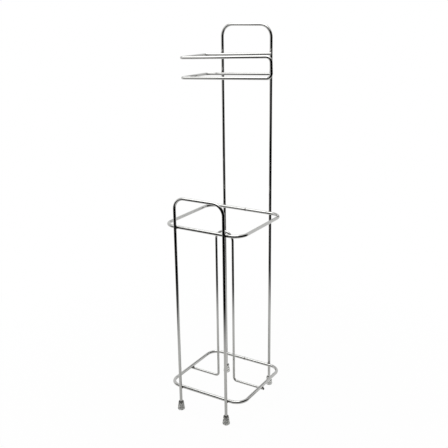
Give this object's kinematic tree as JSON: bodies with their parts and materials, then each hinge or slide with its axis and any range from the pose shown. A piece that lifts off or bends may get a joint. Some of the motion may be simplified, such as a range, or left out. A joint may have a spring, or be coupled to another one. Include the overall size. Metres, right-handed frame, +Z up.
{
  "type": "toilet roll storage holder",
  "caption": "Free-standing chromed wire toilet roll holder: a spindle between square rings stores spare rolls, and an open-ended arm on the tall rear frame holds the roll in use.",
  "frame": {"origin": "on the floor, under the middle of the stand's whole outline seen from above", "axes": "+Z up, +Y to the back where the tall frame is, +X to the user's right where the roll arm is open"},
  "size_m": [0.1746, 0.1688, 0.6615],
  "materials": {
    "chromed_wire": "bright chrome plating on drawn steel wire",
    "weld_metal": "chrome-plated weld metal, duller than the wire",
    "foot_vinyl": "soft grey vinyl, slightly translucent, satin"
  },
  "bodies": {
    "root": {"rear_frame": "chromed_wire", "front_frame": "chromed_wire", "upper_ring": "chromed_wire", "lower_ring": "chromed_wire", "roll_spindle": "chromed_wire", "roll_arm": "chromed_wire", "foot_rear_left": "foot_vinyl", "foot_rear_right": "foot_vinyl", "foot_front_left": "foot_vinyl", "foot_front_right": "foot_vinyl", "upper_ring_welds": "weld_metal", "lower_ring_welds": "weld_metal", "spindle_welds": "weld_metal", "roll_arm_welds": "weld_metal", "upper_ring_seam": "weld_metal", "lower_ring_seam": "weld_metal"}
  },
  "joints": []
}
